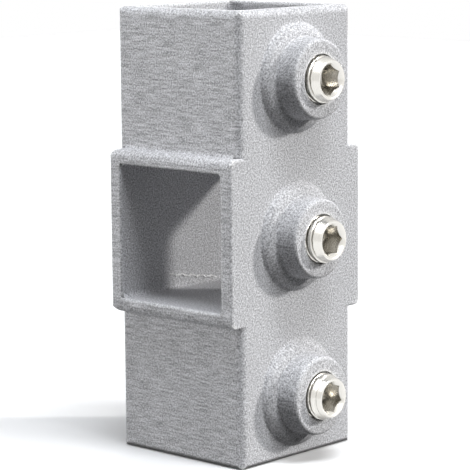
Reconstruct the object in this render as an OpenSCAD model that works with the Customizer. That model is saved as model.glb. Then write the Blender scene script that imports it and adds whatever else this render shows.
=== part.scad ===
// Square tube connector: a cast sleeve with a socket at each end for the upright tube, a middle block
// that a second tube passes straight through, and one set screw for each of the three openings.
// The origin is the centre of the cross passage, where the two tubes' centre lines meet.
// +Z runs up the sleeve, +X points out of the screw side, and the passage runs along Y.
// All lengths are in millimetres.

/* [Tube] */
// Width of the square tube that every opening takes
tube_w = 40; // [30:1:60]
// Gap between the tube and each wall of an opening
tube_gap = 0.5; // [0.25:0.25:1.5]

/* [Casting] */
// Thickness of the wall round the tube
wall_t = 4.5; // [3.5:0.5:8]
// Depth of the top and bottom sockets
socket_depth = 42.5; // [38:0.5:70]
// Thickness of the webs between the passage and the two sockets
web_t = 4.5; // [3.5:0.5:8]
// Corner radius inside the sockets and the passage
inside_corner_r = 1.5; // [0.75:0.25:2.5]
// Rounding where the inside walls meet the mouth of an opening
mouth_edge_r = 0.75; // [0.25:0.25:1]
// Radius of the four upright outer edges
upright_edge_r = 2.5; // [1:0.25:3.5]
// Radius round the top rim
top_rim_r = 2.25; // [0.5:0.25:2.5]
// Radius round the bottom rim
bottom_rim_r = 1.5; // [0.5:0.25:2.5]

/* [Collars] */
// How far the middle block stands out in front and behind
collar_proud = 4; // [2:0.5:12]
// Radius of the collars' corners away from the screw side, seen from the front
collar_corner_r = 3.25; // [1.5:0.25:4]
// Radius of the collars' corners on the screw side, seen from the front
flush_corner_r = 0.75; // [0.25:0.25:2]
// Radius along the upright edges of each collar
collar_edge_r = 1; // [0.25:0.25:1.5]
// Radius along the top and bottom edges of each collar
collar_ledge_r = 2.75; // [0.5:0.25:2.75]
// Fillet where a collar meets the sleeve
collar_fillet_r = 1; // [0.25:0.25:1.5]

/* [Bosses] */
// How far each boss stands out of the side of the sleeve
boss_rise = 9.6; // [7:0.2:14]
// Radius of the boss at its end face
boss_end_r = 11.75; // [10.5:0.25:13]
// Draft angle of the boss's flank
boss_draft = 5; // [1:1:10]
// Radius round the rim of the end face
boss_rim_r = 1; // [0.25:0.25:1.5]
// Radius of the rounded bead round the foot of the boss
bead_r = 3.8; // [3:0.1:4.2]
// How high the bead stands above the side
bead_rise = 2.6; // [2:0.1:2.9]
// Distance from the boss's flank out to the crest of the bead
bead_offset = 0.3; // [0.1:0.1:0.6]
// Hollow fillet where the bead meets the side
bead_fillet_r = 0.6; // [0.3:0.1:1]
// Hollow fillet in the valley between the bead and the flank
valley_fillet_r = 0.5; // [0.3:0.1:1]
// Distance from the top of the sleeve to the centre of the top boss
top_boss_setback = 20.6; // [20:0.1:24]
// Distance from the bottom of the sleeve to the centre of the bottom boss
bottom_boss_setback = 19.8; // [19.4:0.1:24]
// How far the middle boss sits below the middle of the passage
middle_boss_drop = 0.3; // [0:0.1:1]

/* [Set screws] */
// Thread diameter of the screws
screw_d = 14; // [13:1:16]
// Running gap between a screw and its tapped hole
screw_gap = 0.05; // [0.02:0.01:0.09]
// Length of each screw
screw_l = 16; // [12:0.5:18]
// Diameter of the flat ring at the socket end of a screw
screw_end_d = 11.6; // [11.2:0.1:12.4]
// Length of the taper from that ring out to the full thread
screw_taper_l = 3; // [1:0.1:4]
// How much wider each tapped hole is at its outer mouth, all round
mouth_relief = 0.55; // [0.2:0.05:0.8]
// How deep that wider mouth goes
mouth_relief_depth = 1.6; // [0.5:0.1:3]
// Width across the flats of the hexagon socket
hex_w = 8; // [5:0.5:8.5]
// Depth of the hexagon socket
hex_depth = 7.5; // [4:0.5:8]
// Countersink round the hexagon's mouth, past its corners
hex_countersink = 0.6; // [0.1:0.1:0.8]
// Angle of the drilled point under the hexagon and of the cup at the tip
point_angle = 120; // [90:5:140]
// Diameter of the cup in the tip
cup_d = 8; // [4:0.5:9]
// Width of the flat ring round the cup
cup_ring = 0.7; // [0.3:0.1:1]
// How far the top screw stands out of its boss
top_stand = 4; // [0:0.1:5]
// How far the middle screw stands out of its boss
middle_stand = 4.6; // [0:0.1:5]
// How far the bottom screw stands out of its boss
bottom_stand = 4.4; // [0:0.1:5]
// How far the top screw is turned
top_turn = 0; // [0:1:60]
// How far the middle screw is turned
middle_turn = 30; // [0:1:60]
// How far the bottom screw is turned
bottom_turn = 12; // [0:1:60]

/* [Hidden] */
$fn = 96;
// Every cut runs past the face that it opens by this much
past = 1;
opening_w = tube_w + 2 * tube_gap;
sleeve_w = opening_w + 2 * wall_t;
block_h = opening_w + 2 * web_t;
collar_span = sleeve_w + 2 * collar_proud;
sleeve_h = block_h + 2 * socket_depth;
side_x = sleeve_w / 2;
top_boss_z = sleeve_h / 2 - top_boss_setback;
middle_boss_z = -middle_boss_drop;
bottom_boss_z = bottom_boss_setback - sleeve_h / 2;
bore_r = screw_d / 2;
screw_r = bore_r - screw_gap;
hex_corner_r = hex_w / 2 / cos(30);
hex_mouth_r = hex_corner_r + hex_countersink;
cup_r = cup_d / 2;
GALVANISED = [0.70, 0.71, 0.72];
BRIGHT_STEEL = [0.80, 0.78, 0.74];

// A rectangle centred on the origin, with its four corners rounded
module rounded_rectangle(size, r) {
    square([size.x - 2 * r, size.y], center = true);
    square([size.x, size.y - 2 * r], center = true);
    for (x = [-1, 1], y = [-1, 1])
        translate([x * (size.x / 2 - r), y * (size.y / 2 - r)]) circle(r);
}

// The sleeve's outline from one side, with one radius at the top corners and another at the bottom
module sleeve_side() {
    translate([0, (bottom_rim_r - top_rim_r) / 2])
        square([sleeve_w, sleeve_h - top_rim_r - bottom_rim_r], center = true);
    square([sleeve_w - 2 * top_rim_r, sleeve_h], center = true);
    translate([0, -sleeve_h / 4])
        square([sleeve_w - 2 * bottom_rim_r, sleeve_h / 2], center = true);
    for (x = [-1, 1]) {
        translate([x * (sleeve_w / 2 - top_rim_r), sleeve_h / 2 - top_rim_r]) circle(top_rim_r);
        translate([x * (sleeve_w / 2 - bottom_rim_r), bottom_rim_r - sleeve_h / 2]) circle(bottom_rim_r);
    }
}

// The sleeve is the solid that its three outlines share, so every outer edge is rounded
module sleeve() {
    intersection() {
        linear_extrude(sleeve_h, center = true)
            rounded_rectangle([sleeve_w, sleeve_w], upright_edge_r);
        rotate([90, 0, 0]) linear_extrude(sleeve_w, center = true) sleeve_side();
        rotate([90, 0, 90]) linear_extrude(sleeve_w, center = true) sleeve_side();
    }
}

// The block's outline from the front, with smaller corners where it is flush with the screw side
module block_front() {
    rounded_rectangle([sleeve_w, block_h], collar_corner_r);
    translate([sleeve_w / 4, 0]) rounded_rectangle([sleeve_w / 2, block_h], flush_corner_r);
}

// The middle block is flush with the screw side and stands out in front and behind as two collars
module middle_block() {
    intersection() {
        rotate([90, 0, 0]) linear_extrude(collar_span, center = true) block_front();
        linear_extrude(block_h, center = true)
            rounded_rectangle([sleeve_w, collar_span], collar_edge_r);
        rotate([90, 0, 90]) linear_extrude(sleeve_w, center = true)
            rounded_rectangle([collar_span, block_h], collar_ledge_r);
    }
}

// Fillets fill the corners between the collars and the sleeve, above and below the block
module collar_fillets() {
    fillet_l = sleeve_w - collar_corner_r - upright_edge_r;
    for (y = [-1, 1], z = [-1, 1])
        translate([0, y * side_x, z * block_h / 2]) mirror([0, y < 0 ? 1 : 0, 0])
            mirror([0, 0, z < 0 ? 1 : 0]) difference() {
                translate([collar_corner_r - side_x, -collar_fillet_r, -collar_fillet_r])
                    cube([fillet_l, 2 * collar_fillet_r, 2 * collar_fillet_r]);
                translate([0, collar_fillet_r, collar_fillet_r]) rotate([0, 90, 0])
                    cylinder(h = sleeve_w, r = collar_fillet_r, center = true);
            }
}

// Half the section of a boss: a drafted flank under a rounded rim, with a rounded bead round its foot.
// Each fillet's circle touches the bead's circle and, beside it, the side or the flank.
module boss_section() {
    outward = [cos(boss_draft), sin(boss_draft)];
    upward = [-sin(boss_draft), cos(boss_draft)];
    flank = [boss_end_r, boss_rise] * outward;
    rim = [boss_end_r - boss_rim_r * (1 - sin(boss_draft)) / cos(boss_draft), boss_rise - boss_rim_r];
    bead = [boss_end_r + (boss_rise - bead_rise) * tan(boss_draft) + bead_offset, bead_rise - bead_r];
    foot_reach = bead_r + bead_fillet_r;
    foot = [bead.x + sqrt(foot_reach ^ 2 - (bead_fillet_r - bead.y) ^ 2), bead_fillet_r];
    valley_reach = bead_r + valley_fillet_r;
    valley_out = flank + valley_fillet_r - bead * outward;
    valley = bead + valley_out * outward + sqrt(valley_reach ^ 2 - valley_out ^ 2) * upward;
    difference() {
        union() {
            polygon([
                [0, -wall_t / 2],
                [foot.x, -wall_t / 2],
                foot,
                bead + (foot - bead) * bead_r / foot_reach,
                bead,
                bead + (valley - bead) * bead_r / valley_reach,
                valley,
                valley - valley_fillet_r * outward,
                rim + boss_rim_r * outward,
                [rim.x, boss_rise],
                [0, boss_rise]
            ]);
            translate(rim) circle(boss_rim_r, $fn = 32);
            translate(bead) circle(bead_r, $fn = 48);
        }
        translate(foot) circle(bead_fillet_r, $fn = 32);
        translate(valley) circle(valley_fillet_r, $fn = 32);
    }
}

// Puts what stands on the screw side at a height, its own Z pointing out of the side
module on_side(z) {
    translate([side_x, 0, z]) rotate([0, 90, 0]) children();
}

module boss(z) {
    on_side(z) rotate_extrude() boss_section();
}

// The tapped hole's plain wall, from the opening out through the boss, with its wider mouth
module tapped_hole(z) {
    on_side(z) {
        translate([0, 0, -wall_t - past]) cylinder(h = wall_t + boss_rise + 2 * past, r = bore_r);
        translate([0, 0, boss_rise - mouth_relief_depth])
            cylinder(h = mouth_relief_depth + past, r = bore_r + mouth_relief);
    }
}

// Outline of the space for a tube from one side: straight, then opening out round the mouth's edge
module mouth_side(depth) {
    translate([-opening_w / 2, -depth]) square([opening_w, depth + past]);
    difference() {
        translate([-opening_w / 2 - mouth_edge_r, -mouth_edge_r])
            square([opening_w + 2 * mouth_edge_r, mouth_edge_r + past]);
        for (x = [-1, 1])
            translate([x * (opening_w / 2 + mouth_edge_r), -mouth_edge_r]) circle(mouth_edge_r);
    }
}

// The space that a tube fills, its mouth at Z = 0 and its end at -depth
module tube_space(depth) {
    translate([0, 0, -depth]) linear_extrude(depth + past)
        rounded_rectangle([opening_w, opening_w], inside_corner_r);
    intersection() {
        translate([0, 0, -mouth_edge_r]) linear_extrude(mouth_edge_r + past)
            rounded_rectangle([1, 1] * (opening_w + 2 * mouth_edge_r), inside_corner_r + mouth_edge_r);
        rotate([90, 0, 0]) linear_extrude(sleeve_w, center = true) mouth_side(depth);
        rotate([90, 0, 90]) linear_extrude(sleeve_w, center = true) mouth_side(depth);
    }
}

module casting() {
    color(GALVANISED) difference() {
        union() {
            sleeve();
            middle_block();
            collar_fillets();
            for (z = [bottom_boss_z, middle_boss_z, top_boss_z]) boss(z);
        }
        translate([0, 0, sleeve_h / 2]) tube_space(socket_depth);
        rotate([180, 0, 0]) translate([0, 0, sleeve_h / 2]) tube_space(socket_depth);
        for (turn = [90, -90])
            rotate([turn, 0, 0]) translate([0, 0, collar_span / 2]) tube_space(collar_span / 2 + past);
        for (z = [bottom_boss_z, middle_boss_z, top_boss_z]) tapped_hole(z);
    }
}

// A set screw with its socket end at Z = 0 and its cup point at -screw_l
module set_screw() {
    tip_ring_r = cup_r + cup_ring;
    tip_chamfer = screw_r - tip_ring_r;
    point_h = 1 / tan(point_angle / 2);
    difference() {
        rotate_extrude() polygon([
            [0, -screw_l],
            [tip_ring_r, -screw_l],
            [screw_r, tip_chamfer - screw_l],
            [screw_r, -screw_taper_l],
            [screw_end_d / 2, 0],
            [0, 0]
        ]);
        translate([0, 0, -hex_depth]) cylinder(h = hex_depth + past, r = hex_corner_r, $fn = 6);
        translate([0, 0, -hex_depth - hex_w / 2 * point_h])
            cylinder(h = hex_w / 2 * point_h, r1 = 0, r2 = hex_w / 2);
        translate([0, 0, -hex_mouth_r]) cylinder(h = hex_mouth_r + past, r1 = 0, r2 = hex_mouth_r + past);
        translate([0, 0, -screw_l - past])
            cylinder(h = past + cup_r * point_h, r1 = cup_r + past / point_h, r2 = 0);
    }
}

// Puts a set screw in the boss at a height, standing out of its end face and turned on its axis
module screw_in_boss(z, stand, turn) {
    color(BRIGHT_STEEL) on_side(z) translate([0, 0, boss_rise + stand]) rotate([0, 0, turn]) set_screw();
}

module top_set_screw() { screw_in_boss(top_boss_z, top_stand, top_turn); }
module middle_set_screw() { screw_in_boss(middle_boss_z, middle_stand, middle_turn); }
module bottom_set_screw() { screw_in_boss(bottom_boss_z, bottom_stand, bottom_turn); }

casting();
top_set_screw();
middle_set_screw();
bottom_set_screw();
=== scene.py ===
# %% [markdown]
# A square tube connector is a rough grey casting with three bright turned screws in it.
# The measured solids come ready made from the frame, so this lesson is about everything that the
# solids leave out: the grain of a galvanised casting, the real thread on the screws and in their
# holes, and a studio that shows both finishes. Every length here is in metres.

# %% Load the frame and keep its box
import math

import bpy
import numpy as np
from mathutils import Matrix, Vector


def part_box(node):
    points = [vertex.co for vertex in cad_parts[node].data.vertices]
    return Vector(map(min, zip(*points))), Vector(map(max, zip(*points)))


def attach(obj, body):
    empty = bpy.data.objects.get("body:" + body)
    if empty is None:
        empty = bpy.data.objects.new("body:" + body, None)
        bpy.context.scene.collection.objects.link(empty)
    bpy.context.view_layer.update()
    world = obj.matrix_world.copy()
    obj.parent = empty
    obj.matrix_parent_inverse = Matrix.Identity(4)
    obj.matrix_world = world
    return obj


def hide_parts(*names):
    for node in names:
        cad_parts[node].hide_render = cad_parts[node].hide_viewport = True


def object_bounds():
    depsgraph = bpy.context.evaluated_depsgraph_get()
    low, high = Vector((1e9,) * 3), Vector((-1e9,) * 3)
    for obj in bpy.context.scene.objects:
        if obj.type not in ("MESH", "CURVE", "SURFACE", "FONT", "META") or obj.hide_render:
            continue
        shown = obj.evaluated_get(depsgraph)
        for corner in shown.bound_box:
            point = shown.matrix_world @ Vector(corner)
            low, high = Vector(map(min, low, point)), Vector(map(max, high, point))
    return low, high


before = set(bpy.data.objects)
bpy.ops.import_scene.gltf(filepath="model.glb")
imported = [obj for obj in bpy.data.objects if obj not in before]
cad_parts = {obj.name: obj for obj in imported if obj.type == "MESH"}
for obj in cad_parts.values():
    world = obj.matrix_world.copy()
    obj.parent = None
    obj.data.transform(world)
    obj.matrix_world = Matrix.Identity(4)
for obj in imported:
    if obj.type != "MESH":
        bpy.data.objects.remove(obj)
cad_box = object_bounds()
MM = 0.001
scene = bpy.context.scene
print("solids:", sorted(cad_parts))

# %% [markdown]
# The photograph was taken from a little above, with a long lens, at the corner between the window
# side and the screw side. A camera is easiest to describe by where it stands on a circle round the
# object, how high it looks down from, how far off it is, and what point it aims at. A long lens
# keeps the upright edges nearly parallel, as they are in the photograph.

# %% Camera
CAMERA_AZIMUTH = math.radians(42.67)
CAMERA_ELEVATION = math.radians(8.57)
CAMERA_DISTANCE = 0.684
CAMERA_AIM = Vector((-0.15, -0.14, -2.51)) * MM
CAMERA_ROLL = math.radians(-0.456)
LENS_MM = 171.5

camera_data = bpy.data.cameras.new("camera")
camera_data.lens = LENS_MM
camera_data.sensor_width = 36.0
camera_data.clip_start = 0.05
camera = bpy.data.objects.new("camera", camera_data)
scene.collection.objects.link(camera)
flat_reach = CAMERA_DISTANCE * math.cos(CAMERA_ELEVATION)
camera.location = (
    flat_reach * math.sin(CAMERA_AZIMUTH),
    -flat_reach * math.cos(CAMERA_AZIMUTH),
    CAMERA_DISTANCE * math.sin(CAMERA_ELEVATION),
)
look = (CAMERA_AIM - camera.location).to_track_quat("-Z", "Y")
camera.rotation_euler = (look.to_matrix() @ Matrix.Rotation(CAMERA_ROLL, 3, "Z")).to_euler()
scene.camera = camera
print("camera stands at", [round(c, 3) for c in camera.location])

# %% [markdown]
# Small helpers keep the node code short. A material is built from nodes that are made by name, and
# a link says which output feeds which input.

# %% Helpers for nodes
def new_node(tree, kind, **settings):
    """Adds a node of that kind and sets its properties by name."""
    node = tree.nodes.new(kind)
    for name, value in settings.items():
        setattr(node, name, value)
    return node


def feed(tree, socket, value):
    """Gives an input socket a value, or links it to another node's output."""
    if isinstance(value, bpy.types.NodeSocket):
        tree.links.new(value, socket)
    else:
        socket.default_value = value


def math_node(tree, operation, a, b=0.0, c=0.0, clamp=False):
    """One arithmetic step. Returns its output."""
    node = new_node(tree, "ShaderNodeMath", operation=operation, use_clamp=clamp)
    for socket, value in zip(node.inputs, (a, b, c)):
        feed(tree, socket, value)
    return node.outputs[0]


def spread(tree, value, low, high, to_low=0.0, to_high=1.0):
    """Maps value from the range low to high onto to_low to to_high, clamped at both ends."""
    node = new_node(tree, "ShaderNodeMapRange")
    settings = {"Value": value, "From Min": low, "From Max": high, "To Min": to_low, "To Max": to_high}
    for name, setting in settings.items():
        feed(tree, node.inputs[name], setting)
    return node.outputs["Result"]


def stretch(tree, vector, factors):
    """Multiplies the three parts of a vector by three factors."""
    node = new_node(tree, "ShaderNodeVectorMath", operation="MULTIPLY")
    feed(tree, node.inputs[0], vector)
    feed(tree, node.inputs[1], factors)
    return node.outputs[0]


def noise(tree, vector, scale, roughness, detail=3.0):
    """Smooth random values about 0.5, with scale cells to the unit of vector."""
    node = new_node(tree, "ShaderNodeTexNoise")
    settings = {"Vector": vector, "Scale": scale, "Detail": detail, "Roughness": roughness}
    for name, setting in settings.items():
        feed(tree, node.inputs[name], setting)
    return node.outputs["Fac"]


def mix_colour(tree, share, a, b):
    """Blends colour a into colour b by share."""
    node = new_node(tree, "ShaderNodeMix", data_type="RGBA")
    feed(tree, node.inputs[0], share)
    feed(tree, node.inputs[6], a)
    feed(tree, node.inputs[7], b)
    return node.outputs[2]


def bump(tree, shader, height, distance):
    """Tilts the shader's normals as if height, from 0 to 1, raised the skin by up to distance."""
    node = new_node(tree, "ShaderNodeBump")
    node.inputs["Distance"].default_value = distance
    feed(tree, node.inputs["Height"], height)
    feed(tree, shader.inputs["Normal"], node.outputs["Normal"])


def shelter(tree, reach, inside=False):
    """1 where no surface lies within reach in front of the skin, or behind it with inside, and less where
    one does."""
    node = new_node(tree, "ShaderNodeAmbientOcclusion", inside=inside, samples=8)
    node.inputs["Distance"].default_value = reach
    return node.outputs["AO"]


def seen_rays(tree):
    """1 for the rays that the camera sees straight, and for mirrored rays and rays through glass, and 0
    for the rest, which carry soft light from one matt surface to another."""
    rays = new_node(tree, "ShaderNodeLightPath").outputs
    seen = math_node(tree, "ADD", rays["Is Camera Ray"], rays["Is Glossy Ray"], clamp=True)
    return math_node(tree, "ADD", seen, rays["Is Transmission Ray"], clamp=True)


def new_material(name):
    """A material with a Principled BSDF. Returns the material, its tree and the shader node."""
    material = bpy.data.materials.new(name)
    material.use_nodes = True
    tree = material.node_tree
    return material, tree, tree.nodes["Principled BSDF"]


# %% [markdown]
# Zinc on a sand casting shows several sizes of unevenness at once: a grain as fine as the sand, soft
# dimples a few millimetres wide where the zinc has run, and wide cloudy patches. The flat sides also
# carry fine streaks that run sideways. One node group makes all of them from Object coordinates in
# millimetres, so that the grain keeps its size on every piece that uses it.

# %% Node group: cast grain
STREAK_STRETCH = (0.16, 0.16, 1.5)
STREAK_SHARE = 0.4
FINE_SHARE = 0.6
SPECKLE_RANGE = (0.39, 0.61)
PATCH_RANGE = (0.3, 0.7)


def build_cast_grain():
    """Group with the inputs Grain and Dimples, the widths of both in millimetres, and Streaks, from 0
    to 1. It puts out Height for a Bump, and the masks Speckle and Patches for the colour."""
    group = bpy.data.node_groups.new("cast_grain", "ShaderNodeTree")
    for name, default in (("Grain", 0.5), ("Dimples", 3.0), ("Streaks", 0.0)):
        socket = group.interface.new_socket(name, in_out="INPUT", socket_type="NodeSocketFloat")
        socket.default_value = default
    for name in ("Height", "Speckle", "Patches"):
        group.interface.new_socket(name, in_out="OUTPUT", socket_type="NodeSocketFloat")
    inside = new_node(group, "NodeGroupInput").outputs
    outside = new_node(group, "NodeGroupOutput").inputs
    place = new_node(group, "ShaderNodeTexCoord").outputs["Object"]
    where = stretch(group, place, (1 / MM, 1 / MM, 1 / MM))
    grain_scale = math_node(group, "DIVIDE", 1.0, inside["Grain"])
    dimple_scale = math_node(group, "DIVIDE", 1.0, inside["Dimples"])
    patch_scale = math_node(group, "MULTIPLY", dimple_scale, 0.25)
    fine = noise(group, where, grain_scale, 0.8)
    soft = noise(group, where, dimple_scale, 0.5)
    wide = noise(group, where, patch_scale, 0.6)
    streaky = noise(group, stretch(group, where, STREAK_STRETCH), 1.0, 0.6)
    streaky = math_node(group, "SUBTRACT", streaky, 0.5)
    streaky = math_node(group, "MULTIPLY", streaky, inside["Streaks"])
    fine = math_node(group, "ADD", fine, math_node(group, "MULTIPLY", streaky, STREAK_SHARE))
    soft = math_node(group, "MULTIPLY", soft, 1 - FINE_SHARE)
    feed(group, outside["Height"], math_node(group, "MULTIPLY_ADD", fine, FINE_SHARE, soft))
    feed(group, outside["Speckle"], spread(group, fine, *SPECKLE_RANGE))
    feed(group, outside["Patches"], spread(group, wide, *PATCH_RANGE))
    return group


cast_grain = build_cast_grain()
print("node group:", cast_grain.name)

# %% [markdown]
# The casting keeps the frame's own solid, and gets its finish here. Dull zinc scatters light almost
# like paint, with hardly any sheen, so the shader is rough and has no metal in it. The streaks lie on
# the sides that face along Y, which the surface's own direction picks out. Edges that stick out are
# painted paler, partly as rubbed zinc and partly as a painted highlight: looking inwards from the skin,
# an edge is where the other side comes up close. Sharp inner corners get painted shade: looking
# outwards from the skin, they are nearly shut in.

# %% The casting's finish
GREY_LOW = (0.25, 0.251, 0.26, 1)
GREY_HIGH = (0.79, 0.792, 0.818, 1)
# Paler colour of outer edges: partly rubbed zinc, partly a painted highlight.
WORN_AND_HIGHLIGHT = (0.92, 0.92, 0.92, 1)
# Colour of the painted shade in shut-in inner corners.
PAINTED_SHADE_GREY = (0.12, 0.12, 0.12, 1)
GRAIN_MM = 0.5
DIMPLES_MM = 2.5
PATCH_SHARE = 0.12
EDGE_REACH = 1.8 * MM
EDGE_RANGE = (0.82, 0.5)
WORN_AND_HIGHLIGHT_SHARE = (0.4, 0.95)
CORNER_REACH = 2.6 * MM
CORNER_RANGE = (0.75, 0.5)
PAINTED_SHADE_SHARE = 0.85
FLAT_SIDE_RANGE = (0.85, 0.98)
SKIN_ROUGHNESS = (0.7, 0.5)
SKIN_SHEEN = 0.12
GRAIN_HEIGHT = 0.12 * MM


def galvanised_finish():
    """Speckled grey with paler edges, partly rubbed and partly a painted highlight, and darker shut-in
    corners as painted shade.
    """
    material, tree, shader = new_material("zinc_skin")
    facing = new_node(tree, "ShaderNodeSeparateXYZ")
    feed(tree, facing.inputs[0], new_node(tree, "ShaderNodeTexCoord").outputs["Normal"])
    flat_side = spread(tree, math_node(tree, "ABSOLUTE", facing.outputs["Y"]), *FLAT_SIDE_RANGE)
    grain = new_node(tree, "ShaderNodeGroup", node_tree=cast_grain)
    grain.inputs["Grain"].default_value = GRAIN_MM
    grain.inputs["Dimples"].default_value = DIMPLES_MM
    feed(tree, grain.inputs["Streaks"], flat_side)
    speckle = grain.outputs["Speckle"]
    patches = spread(tree, grain.outputs["Patches"], 0.0, 1.0, 0.0, PATCH_SHARE)
    # Painted shade: the colour darkens where another surface lies close in front of the skin.
    painted_shade = spread(tree, shelter(tree, CORNER_REACH), *CORNER_RANGE, 0.0, PAINTED_SHADE_SHARE)
    # Paler outer edges: partly rubbed zinc, partly a painted highlight.
    edge = spread(tree, shelter(tree, EDGE_REACH, inside=True), *EDGE_RANGE)
    worn_and_highlight = math_node(tree, "MULTIPLY", edge, spread(tree, speckle, 0.2, 0.8, *WORN_AND_HIGHLIGHT_SHARE))
    colour = mix_colour(tree, speckle, GREY_LOW, GREY_HIGH)
    colour = mix_colour(tree, patches, colour, GREY_LOW)
    colour = mix_colour(tree, painted_shade, colour, PAINTED_SHADE_GREY)
    feed(tree, shader.inputs["Base Color"], mix_colour(tree, worn_and_highlight, colour, WORN_AND_HIGHLIGHT))
    feed(tree, shader.inputs["Roughness"], spread(tree, speckle, 0.0, 1.0, *SKIN_ROUGHNESS))
    shader.inputs["Specular IOR Level"].default_value = SKIN_SHEEN
    bump(tree, shader, grain.outputs["Height"], GRAIN_HEIGHT)
    return material


galvanised = galvanised_finish()
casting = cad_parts["casting"]
casting.material_slots[0].material = galvanised
print("casting has", len(casting.data.polygons), "faces")

# %% [markdown]
# A set screw is a turned rod with a thread cut along all of it, a hexagon socket in one end and a cup
# in the other. Every one of those shapes has a radius that depends only on the angle round the axis
# and the place along the outline, so one grid of rings can hold the whole screw: the rings start in
# the middle of the cup, go out over the tip, along the thread, over the end and down into the socket.

# %% Thread form
THREAD_PITCH = 2.0 * MM
THREAD_DEPTH = 0.7 * MM
THREAD_CREST = 0.5  # share of the pitch that the crest takes
THREAD_ROOT = 0.06  # share of the pitch that the root takes
FITTING_GAP = 0.06 * MM


def thread_drop(x, angle, start):
    """How far the thread's surface lies under its crest: nothing on the crest, THREAD_DEPTH in the root,
    and an S-shaped flank between. The crest climbs one pitch for each turn, so it is right-handed, and
    start slides the whole thread along its axis."""
    phase = np.mod((x - start) / THREAD_PITCH - angle / (2 * np.pi), 1.0)
    from_crest = np.abs(phase - 0.5) * 2
    share = np.clip((from_crest - THREAD_CREST) / (1 - THREAD_CREST - THREAD_ROOT), 0, 1)
    return THREAD_DEPTH * share**2 * (3 - 2 * share)


# %% [markdown]
# Rings of points become a mesh by joining each ring to the next. The first and last ring can shrink
# to one point, which closes the skin there, or the rings can run back to where they started. The
# mesh also gets a UV map: U runs along the outline and V round the axis, as the marks of a lathe do.

# %% Helper: rings to a mesh
ROUND = 144
UV_LENGTH = 10.0 * MM
SHARP_ANGLE = math.radians(28)


def skin_rings(name, points, poles, material):
    """points has the shape (rings, round, 3). With poles, the first and last ring are one point each;
    without them the last ring joins the first, as on a torus. Returns the new object."""
    rings, around = points.shape[:2]
    column = np.arange(around)
    beside = np.roll(column, -1)
    closed = points if poles else np.concatenate([points, points[:1]])
    step = np.linalg.norm(np.diff(closed, axis=0), axis=-1).mean(1)
    along = np.concatenate([[0.0], np.cumsum(step)]) / UV_LENGTH
    body = np.arange(1, rings - 2) if poles else np.arange(rings)
    after = body + 1
    joined = after if poles else np.mod(after, rings)
    offset = (1 - around) if poles else 0
    first = (body * around + offset)[:, None] + column * 0
    second = (joined * around + offset)[:, None] + column * 0
    quads = np.stack([first + column, first + beside, second + beside, second + column], -1).reshape(-1, 4)
    u_low, u_high, v_low = np.broadcast_arrays(along[body][:, None], along[after][:, None], column / around)
    v_high = v_low + 1 / around
    quad_uv = np.stack([u_low, v_low, u_low, v_high, u_high, v_high, u_high, v_low], -1)
    faces = quads.tolist()
    uv = [quad_uv.reshape(-1)]
    vertices = points.reshape(-1, 3)
    if poles:
        vertices = np.concatenate([points[:1, 0], points[1:-1].reshape(-1, 3), points[-1:, 0]])
        last = len(vertices) - 1
        end = 1 + (rings - 3) * around
        faces += np.stack([0 * column, beside + 1, column + 1], -1).tolist()
        faces += np.stack([0 * column + last, end + column, end + beside], -1).tolist()
        v = column / around
        v_next = v + 1 / around
        same = 0 * v
        start_u, second_u, last_but_one_u, last_u = (same + along[i] for i in (0, 1, -2, -1))
        uv.append(np.stack([start_u, v, second_u, v_next, second_u, v], -1).reshape(-1))
        uv.append(np.stack([last_u, v, last_but_one_u, v, last_but_one_u, v_next], -1).reshape(-1))
    mesh = bpy.data.meshes.new(name)
    mesh.from_pydata(vertices.tolist(), [], faces)
    mesh.uv_layers.new(name="turned").data.foreach_set("uv", np.concatenate(uv))
    mesh.shade_smooth()
    mesh.set_sharp_from_angle(angle=SHARP_ANGLE)
    mesh.materials.append(material)
    piece = bpy.data.objects.new(name, mesh)
    scene.collection.objects.link(piece)
    return piece


def enclosed_volume(piece):
    """Volume in cubic millimetres, which is negative where the faces point inwards."""
    piece.data.calc_loop_triangles()
    corner = np.zeros(len(piece.data.vertices) * 3)
    piece.data.vertices.foreach_get("co", corner)
    corner = corner.reshape(-1, 3)
    triangle = np.zeros(len(piece.data.loop_triangles) * 3, int)
    piece.data.loop_triangles.foreach_get("vertices", triangle)
    a, b, c = corner[triangle.reshape(-1, 3)].transpose(1, 0, 2)
    return float((a * np.cross(b, c)).sum() / 6) / MM**3


# %% Screw surface
RING_STEP = 0.125 * MM
END_RING_R = 5.8 * MM
TAPER_LENGTH = 3.0 * MM
HEX_WIDTH = 8.0 * MM
HEX_DEPTH = 7.5 * MM
HEX_MOUTH_R = HEX_WIDTH / 2 / math.cos(math.pi / 6) + 0.6 * MM
CUP_R = 4.0 * MM
CUP_RING_R = 4.7 * MM
POINT_SLOPE = 1 / math.tan(math.radians(60))
EASE = 0.1 * MM


def on_axis(x, radius, angle, centre):
    """Points round an axis along X: angle 0 points down, as the hexagon's first corner does."""
    x, radius, angle = np.broadcast_arrays(x, radius, angle)
    return np.stack([x, centre[1] + radius * np.sin(angle), centre[2] - radius * np.cos(angle)], -1)


def end_taper(x, end_x, radius):
    """The radius narrows evenly to END_RING_R over the last TAPER_LENGTH before the socket end."""
    return END_RING_R + (radius - END_RING_R) * (end_x - x) / TAPER_LENGTH


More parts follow.
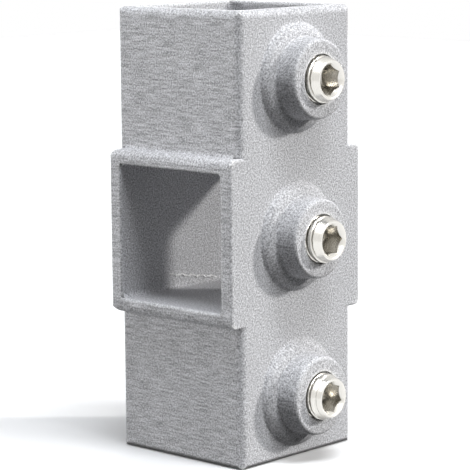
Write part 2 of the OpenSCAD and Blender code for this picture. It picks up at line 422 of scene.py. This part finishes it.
def screw_rings(tip_x, end_x, radius, centre, turn, start):
    """The screw's skin as rings from the cup to the bottom of the socket. On the thread a ring's radius is
    the crest's radius less thread_drop, and never more than the chamfer at the tip and the taper at the
    socket end allow."""
    angle = turn + np.arange(ROUND) * 2 * np.pi / ROUND
    hexagon = HEX_WIDTH / 2 / np.cos(np.mod(angle - turn, np.pi / 3) - np.pi / 6)
    full = np.ones(ROUND)
    x = np.arange(tip_x + EASE, end_x - EASE / 2, RING_STEP)[:, None]
    allowed = np.minimum(CUP_RING_R + (x - tip_x), end_taper(x, end_x, radius))
    body = np.minimum(radius - thread_drop(x, angle, start), allowed)
    cup_x = tip_x + CUP_R * POINT_SLOPE
    before = [(cup_x, 0 * full), (tip_x + EASE * POINT_SLOPE, (CUP_R - EASE) * full)]
    before += [(tip_x, (CUP_R + EASE) * full), (tip_x, (CUP_RING_R - EASE) * full)]
    after = [(end_x, (END_RING_R - EASE) * full), (end_x, (HEX_MOUTH_R + EASE) * full)]
    after += [(end_x - EASE, (HEX_MOUTH_R - EASE) * full)]
    after += [(end_x - (HEX_MOUTH_R - hexagon), hexagon)]
    after += [(end_x - HEX_DEPTH + EASE, hexagon), (end_x - HEX_DEPTH, hexagon - EASE)]
    after += [(end_x - HEX_DEPTH, (HEX_WIDTH / 2 - 2 * EASE) * full)]
    after += [(end_x - HEX_DEPTH - HEX_WIDTH / 2 * POINT_SLOPE, 0 * full)]
    rings = [on_axis(a, r, angle, centre) for a, r in before]
    rings += list(on_axis(x, body, angle, centre))
    rings += [on_axis(a, r, angle, centre) for a, r in after]
    return np.array(rings)


# %% [markdown]
# The hole's thread fills what the screw's thread leaves free. It is a ring of its own, one running gap
# outside the screw, and its back is sunk in the casting's wall. A 45 degree bevel at each end cuts the
# ridges down to nothing, the outer one just under the wider mouth of the boss.

# %% Hole thread surface
BORE_R = 7.0 * MM
HOLE_START_X = 20.6 * MM
THREAD_END_X = 33.4 * MM
SUNK = 0.5 * MM


def hole_rings(centre, screw_r, start):
    """The rings run inwards along the thread and back outwards inside the wall."""
    angle = np.arange(ROUND) * 2 * np.pi / ROUND
    x = np.arange(THREAD_END_X, HOLE_START_X, -RING_STEP)[:, None]
    bevel = np.maximum(BORE_R + (x - THREAD_END_X), BORE_R - (x - HOLE_START_X))
    ridge = np.maximum(screw_r - thread_drop(x, angle, start) + FITTING_GAP, bevel)
    back = np.array([x[-1], x[0]])
    return np.concatenate([on_axis(x, ridge, angle, centre), on_axis(back, BORE_R + SUNK, angle, centre)])


# %% [markdown]
# Bright turned steel is a plain metal shader. What makes it look real is what it mirrors, and faint
# rings left by the lathe, which follow the U of the UV map. The roots of the thread and the deep part
# of the socket get painted shade, so each screw carries a number called hollow at every point.

# %% The screws' finish
STEEL_LOW = (0.62, 0.6, 0.555, 1)
STEEL_HIGH = (0.86, 0.84, 0.79, 1)
# Colour of the painted shade in the thread's roots and in the socket.
RECESS_SHADE = (0.2, 0.185, 0.165, 1)
LATHE_MARKS = (60.0, 3.0, 1.0)
MARK_HEIGHT = 0.01 * MM
STEEL_ROUGHNESS = (0.16, 0.3)


def bright_finish():
    """Polished metal with painted shade: darker where hollow is high."""
    material, tree, shader = new_material("turned_steel")
    turned = new_node(tree, "ShaderNodeUVMap", uv_map="turned").outputs[0]
    hollow = new_node(tree, "ShaderNodeAttribute", attribute_name="hollow").outputs["Fac"]
    marks = noise(tree, stretch(tree, turned, LATHE_MARKS), 1.0, 0.6)
    clean = mix_colour(tree, marks, STEEL_LOW, STEEL_HIGH)
    shader.inputs["Metallic"].default_value = 1.0
    # Painted shade: the colour darkens where hollow is high.
    feed(tree, shader.inputs["Base Color"], mix_colour(tree, hollow, clean, RECESS_SHADE))
    feed(tree, shader.inputs["Roughness"], spread(tree, marks, 0.3, 0.7, *STEEL_ROUGHNESS))
    bump(tree, shader, marks, MARK_HEIGHT)
    return material


bright_steel = bright_finish()
print("material:", bright_steel.name)

# %% [markdown]
# How hollow a point lies follows from its place: how far it is under the crest's radius on the
# outside, or how far down it is in the socket. It is worked out for all points at once and stored
# with the mesh, where the material can read it.

# %% Helper: mark the hollows
# How much painted shade the thread's roots and the socket get at most.
ROOT_SHADE = 0.8
SOCKET_SHADE = 0.38


# hollow sets how much painted shade the material puts on each point.
def mark_hollows(screw, end_x, radius, centre):
    """Stores hollow at every point. It is 0 on the crests and on the end face, and rises to ROOT_SHADE in
    the thread's roots and to SOCKET_SHADE down in the socket."""
    corner = np.zeros(len(screw.data.vertices) * 3)
    screw.data.vertices.foreach_get("co", corner)
    x, y, z = corner.reshape(-1, 3).T
    out = np.hypot(y - centre[1], z - centre[2])
    crest = np.minimum(radius, end_taper(x, end_x, radius))
    root = np.clip((crest - out) / THREAD_DEPTH, 0, 1) * ROOT_SHADE
    socket = np.clip((end_x - x) / HEX_DEPTH, 0, SOCKET_SHADE)
    hollow = np.where(out < HEX_MOUTH_R, socket, np.where(x > end_x - EASE, 0, root))
    screw.data.attributes.new("hollow", "FLOAT", "POINT").data.foreach_set("value", hollow)


# %% [markdown]
# Each screw takes its place and its radius from its own solid in the frame. The photograph shows the
# hexagons turned and the threads standing at three different places along their axes, so each screw
# has its own turn in degrees and its own start in millimetres, which its hole shares.

# %% Make the three screws and their holes
SCREWS = {"top": (0, 0.4), "middle": (30, 1.0), "bottom": (12, 0.0)}
for place, (turn, start) in SCREWS.items():
    low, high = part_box(f"{place}_set_screw")
    centre = (low + high) / 2
    screw_r = (high.y - low.y) / 2
    rings = screw_rings(low.x, high.x, screw_r, centre, math.radians(turn), start * MM)
    ridges = hole_rings(centre, screw_r, start * MM)
    screw = skin_rings(f"{place}_threaded_screw", rings, True, bright_steel)
    mark_hollows(screw, high.x, screw_r, centre)
    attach(screw, f"{place}_screw")
    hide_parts(f"{place}_set_screw")
    hole = skin_rings(f"{place}_hole_thread", ridges, False, galvanised)
    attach(hole, "connector")
    for piece in (screw, hole):
        print(piece.name, "holds", round(enclosed_volume(piece), 1), "mm3")

# %% [markdown]
# A thin ridge of metal, the flash, is left in a casting where two parts of its mould met. Here it
# wavers along the passage's wall, opposite the screws. A circle carried along a line makes it, sunk
# to its middle in the wall. The circle shrinks to a point at both ends.

# %% Flash line in the passage
PASSAGE_WIDTH = 41.0 * MM
FLASH_R = 0.28 * MM
FLASH_Y = (-8.5 * MM, 13.6 * MM)
FLASH_Z = (-15.9 * MM, -19.4 * MM)
FLASH_STEPS = 160
FLASH_ROUND = 16


def flash_rings():
    """Circles along a line that is straight but for two sine waves. A third wave varies the radius, which
    grows with the square root of the distance from each end over the first twelfth of the line."""
    share = np.linspace(0, 1, FLASH_STEPS)[:, None]
    angle = np.arange(FLASH_ROUND) * 2 * np.pi / FLASH_ROUND
    waver = (0.22 * np.sin(31 * share) + 0.12 * np.sin(73 * share + 1)) * MM
    ends = np.clip(np.minimum(share, 1 - share) * 12, 0, 1) ** 0.5
    radius = FLASH_R * ends * (1 + 0.25 * np.sin(47 * share))
    x = -PASSAGE_WIDTH / 2 - radius * np.cos(angle)
    y = FLASH_Y[0] + (FLASH_Y[1] - FLASH_Y[0]) * share + 0 * angle
    z = FLASH_Z[0] + (FLASH_Z[1] - FLASH_Z[0]) * share + waver + radius * np.sin(angle)
    return np.stack([x, y, z], -1)


flash = skin_rings("passage_flash", flash_rings(), True, galvanised)
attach(flash, "connector")
print(flash.name, "holds", round(enclosed_volume(flash), 2), "mm3")

# %% [markdown]
# The studio: one small lamp, the key, stands behind on the right and throws the bosses' shadows. A
# broad, slightly blue light comes from high in front, and four weaker ones fill in from the front and
# the right. Two strong wide lamps stand level with the object on the left, because nothing that
# faces down is bright in the photograph. A lamp's place is given in degrees round from -Y towards +X,
# and in degrees up.

# %% Lights
def sun(name, azimuth, elevation, strength, width, colour=(1.0, 1.0, 1.0)):
    """A lamp so far off that its rays are parallel. Width is the angle that it covers in the sky."""
    a = math.radians(azimuth)
    e = math.radians(elevation)
    towards = Vector((math.cos(e) * math.sin(a), -math.cos(e) * math.cos(a), math.sin(e)))
    data = bpy.data.lights.new(name, "SUN")
    data.energy = strength
    data.color = colour
    data.angle = math.radians(width)
    lamp = bpy.data.objects.new(name, data)
    lamp.rotation_euler = towards.to_track_quat("Z", "Y").to_euler()
    scene.collection.objects.link(lamp)


sun("key", 131.6, 24.6, 2.0, 5, (1.0, 0.985, 0.96))
sun("front_high", 60, 75, 2.45, 24, (0.93, 0.96, 1.0))
sun("front", 15, 50, 0.25, 28)
sun("right_front", 80, 30, 0.38, 12)
sun("right", 100, 30, 0.84, 12)
sun("right_high", 100, 66, 0.63, 12)
sun("left_low", -45, 0, 3.4, 28)
sun("behind_left_low", -135, 0, 2.7, 28)
print("lamps:", len(bpy.data.lights))

# %% [markdown]
# The sky is plain white wherever the camera sees it, straight or in the mirror of the steel. For the
# rays that light the object it is almost black, so that the lamps alone make light and shade.

# %% World
SKY_LIGHT = 0.005

world = bpy.data.worlds.new("studio")
scene.world = world
world.use_nodes = True
tree = world.node_tree
tree.nodes.clear()
white = new_node(tree, "ShaderNodeBackground")
white.inputs["Color"].default_value = (1, 1, 1, 1)
dim = new_node(tree, "ShaderNodeBackground")
dim.inputs["Color"].default_value = (1, 1, 1, 1)
dim.inputs["Strength"].default_value = SKY_LIGHT
choose = new_node(tree, "ShaderNodeMixShader")
feed(tree, choose.inputs[0], seen_rays(tree))
feed(tree, choose.inputs[1], dim.outputs[0])
feed(tree, choose.inputs[2], white.outputs[0])
feed(tree, new_node(tree, "ShaderNodeOutputWorld").inputs["Surface"], choose.outputs[0])
print("world:", world.name)

# %% [markdown]
# The floor is a wide pale sheet under the lowest rim. The camera sees it nearly white, with the
# object's shadow on it. It sends little light back up, so that the undersides stay dark.

# %% Floor
FLOOR_SIZE = 3.0
FLOOR_SEEN = (0.78, 0.78, 0.78, 1)
FLOOR_UNSEEN = (0.02, 0.02, 0.02, 1)
FLOOR_ROUGHNESS = 0.9

half = FLOOR_SIZE / 2
floor_z = cad_box[0][2]
corners = [(x, y, floor_z) for x, y in ((-half, -half), (half, -half), (half, half), (-half, half))]
floor_mesh = bpy.data.meshes.new("floor")
floor_mesh.from_pydata(corners, [], [(0, 1, 2, 3)])
floor = bpy.data.objects.new("floor", floor_mesh)
scene.collection.objects.link(floor)
floor_material, tree, shader = new_material("floor")
floor_colour = mix_colour(tree, seen_rays(tree), FLOOR_UNSEEN, FLOOR_SEEN)
feed(tree, shader.inputs["Base Color"], floor_colour)
shader.inputs["Roughness"].default_value = FLOOR_ROUGHNESS
floor_mesh.materials.append(floor_material)
print("floor at", round(floor_z / MM, 2), "mm")

# %% Colour management
scene.view_settings.view_transform = "Standard"
